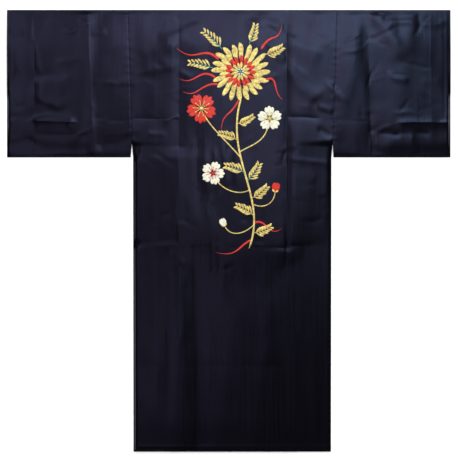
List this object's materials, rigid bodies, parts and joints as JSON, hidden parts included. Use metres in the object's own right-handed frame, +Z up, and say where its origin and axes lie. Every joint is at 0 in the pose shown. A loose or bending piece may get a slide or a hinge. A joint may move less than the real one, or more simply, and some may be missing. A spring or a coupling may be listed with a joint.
{
  "type": "yukata",
  "caption": "Satin yukata laid flat on its front, back upward, with spread square sleeves, a folded collar band and overlapping fronts.",
  "frame": {"origin": "centre of the garment's box, on the surface it lies on", "axes": "+Z up from the surface, +Y towards the shoulder fold, +X towards the wearer's right"},
  "size_m": [1.3306, 1.3256, 0.0096],
  "materials": {
    "satin": "dark navy satin with a soft sheen",
    "sewing_thread": "dark matt sewing thread",
    "gold_thread": "glossy gold embroidery thread",
    "red_thread": "glossy red embroidery thread",
    "white_thread": "glossy white embroidery thread",
    "teal_thread": "glossy teal embroidery thread"
  },
  "bodies": {
    "root": {"back": "satin", "front_left": "satin", "front_right": "satin", "okumi_left": "satin", "okumi_right": "satin", "collar": "satin", "sleeve_left": "satin", "sleeve_right": "satin"}
  },
  "joints": []
}
